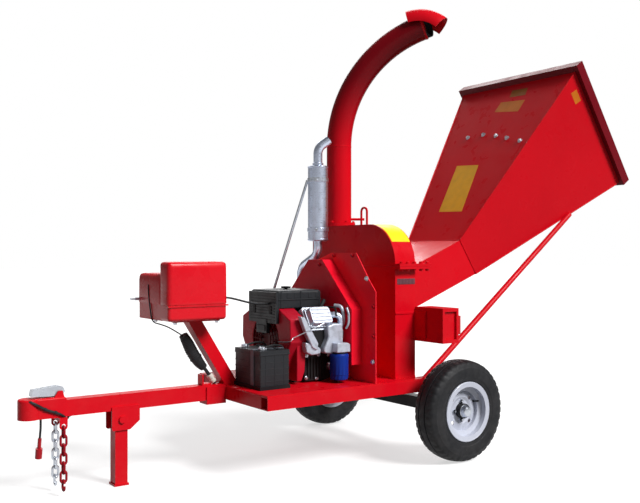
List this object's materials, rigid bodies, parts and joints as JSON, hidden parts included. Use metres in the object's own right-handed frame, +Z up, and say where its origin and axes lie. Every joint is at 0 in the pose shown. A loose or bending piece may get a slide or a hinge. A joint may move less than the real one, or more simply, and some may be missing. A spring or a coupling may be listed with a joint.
{
  "type": "wood chipper",
  "caption": "Towed wood chipper: engine, belt-driven disc in a hinged housing, swivelling curved chute, flared feed hopper, drawbar with coupling and parking stand on two wheels.",
  "frame": {"origin": "on the ground in the middle of the machine's footprint box, trailer lead left out", "axes": "+X along the machine towards the hopper, the coupling at -X; +Y to the side away from the split flange; +Z up"},
  "size_m": [2.9177, 1.056, 1.9601],
  "materials": {
    "red_paint": "gloss enamel on steel",
    "dark_red_paint": "gloss enamel on steel",
    "black_paint": "satin enamel on steel",
    "engine_red": "gloss enamel on pressed steel",
    "tyre_rubber": "matt rubber",
    "rim_silver": "silver enamel",
    "hub_black": "satin black",
    "engine_alloy": "cast alloy",
    "engine_black": "satin black",
    "black_plastic": "moulded, fine grain",
    "tank_red": "moulded polyethylene",
    "filter_blue": "gloss enamel",
    "exhaust_steel": "aluminised steel",
    "bare_steel": "ground steel",
    "zinc_steel": "zinc plated",
    "red_chain": "painted chain",
    "iron": "cast iron",
    "rubber_black": "matt rubber",
    "lens_red": "moulded lens",
    "cable_black": "cable sheath",
    "plug_red": "moulded plug"
  },
  "bodies": {
    "chassis": {"left_rail": "red_paint", "right_rail": "red_paint", "frame_crossmembers": "red_paint", "engine_deck": "red_paint", "drawbar": "red_paint", "coupler_body": "red_paint", "stand_bracket": "red_paint", "axle_beam": "black_paint", "housing_base": "red_paint", "anvil_blade": "bare_steel", "bearing_pedestal": "red_paint", "rotor_bearings": "iron", "belt_guard": "red_paint", "guard_back_panel": "red_paint", "drive_belts": "rubber_black", "engine_block": "engine_black", "engine_cylinders": "engine_alloy", "valve_covers": "engine_alloy", "fan_shroud": "engine_red", "air_cleaner": "black_plastic", "oil_filter": "filter_blue", "starter_motor": "engine_black", "exhaust_pipe": "exhaust_steel", "muffler": "exhaust_steel", "muffler_stay": "zinc_steel", "battery_tray": "black_paint", "battery": "black_plastic", "tank_post": "red_paint", "fuel_tank": "tank_red", "hopper": "red_paint", "hopper_rim": "dark_red_paint", "hopper_struts": "red_paint", "curtain_rail": "red_paint", "lamp_boxes": "red_paint", "tail_lamps": "lens_red", "trailer_lead": "cable_black", "lead_plug": "plug_red", "fuel_hose": "cable_black", "fuel_tap": "engine_alloy", "wiring_harness": "cable_black"},
    "left_wheel": {"left_tyre": "tyre_rubber", "left_rim": "rim_silver", "left_hub": "hub_black"},
    "right_wheel": {"right_tyre": "tyre_rubber", "right_rim": "rim_silver", "right_hub": "hub_black"},
    "stand": {"stand_leg": "red_paint"},
    "latch": {"coupler_lever": "zinc_steel"},
    "near_chain": {"left_chain": "red_chain"},
    "far_chain": {"right_chain": "zinc_steel"},
    "lid": {"housing_cover": "red_paint"},
    "chute": {"chute": "red_paint"},
    "deflector": {"chute_deflector": "red_paint"},
    "rotor": {"rotor_disc": "bare_steel", "rotor_shaft": "bare_steel", "rotor_knives": "bare_steel", "rotor_pulley": "iron"},
    "crank": {"crank_pulley": "iron"},
    "safety_curtain": {"curtain": "rubber_black"},
    "filler_cap": {"fuel_cap": "black_plastic"}
  },
  "joints": [
    {"name": "left_wheel_spin", "type": "hinge", "parent": "chassis", "child": "left_wheel", "pos_m": [0.1912, -0.4685, 0.2085], "axis": [0, 1, 0], "continuous": true},
    {"name": "right_wheel_spin", "type": "hinge", "parent": "chassis", "child": "right_wheel", "pos_m": [0.1912, 0.4685, 0.2085], "axis": [0, 1, 0], "continuous": true},
    {"name": "stand_swing", "type": "hinge", "parent": "chassis", "child": "stand", "pos_m": [-1.0918, 0, 0.245], "axis": [0, -1, 0], "range_deg": [0, 90]},
    {"name": "latch_lift", "type": "hinge", "parent": "chassis", "child": "latch", "pos_m": [-1.3168, 0, 0.362], "axis": [0, 1, 0], "range_deg": [0, 30], "stiffness_Nm_per_rad": 0.4, "springref_deg": -28.65},
    {"name": "near_chain_swing", "type": "hinge", "parent": "chassis", "child": "near_chain", "pos_m": [-1.3138, -0.045, 0.249], "axis": [0, 1, 0], "range_deg": [-60, 60]},
    {"name": "far_chain_swing", "type": "hinge", "parent": "chassis", "child": "far_chain", "pos_m": [-1.3138, 0.045, 0.249], "axis": [0, 1, 0], "range_deg": [-60, 20]},
    {"name": "lid_open", "type": "hinge", "parent": "chassis", "child": "lid", "pos_m": [0.0462, 0.314, 0.807], "axis": [-1, 0, 0], "range_deg": [0, 70]},
    {"name": "chute_turn", "type": "hinge", "parent": "lid", "child": "chute", "pos_m": [0.0462, 0.166, 0.99], "axis": [0, 0, 1], "continuous": true},
    {"name": "deflector_tilt", "type": "hinge", "parent": "chute", "child": "deflector", "pos_m": [0.25925, -0.0879, 1.93324], "axis": [-0.766, -0.6428, 0], "range_deg": [-10, 20]},
    {"name": "rotor_spin", "type": "hinge", "parent": "chassis", "child": "rotor", "pos_m": [0.0342, 0, 0.69], "axis": [1, 0, 0], "continuous": true},
    {"name": "crank_spin", "type": "hinge", "parent": "chassis", "child": "crank", "pos_m": [-0.1738, 0, 0.49], "axis": [1, 0, 0], "continuous": true},
    {"name": "curtain_swing", "type": "hinge", "parent": "chassis", "child": "safety_curtain", "pos_m": [0.8462, 0, 1.392], "axis": [0, 1, 0], "range_deg": [-50, 30]},
    {"name": "cap_turn", "type": "hinge", "parent": "chassis", "child": "filler_cap", "pos_m": [-0.8188, 0.05, 0.79], "axis": [0, 0, 1], "range_deg": [0, 120]}
  ],
  "couplings": [
    {"joint": "crank_spin", "follows": "rotor_spin", "ratio": 1.5862}
  ]
}
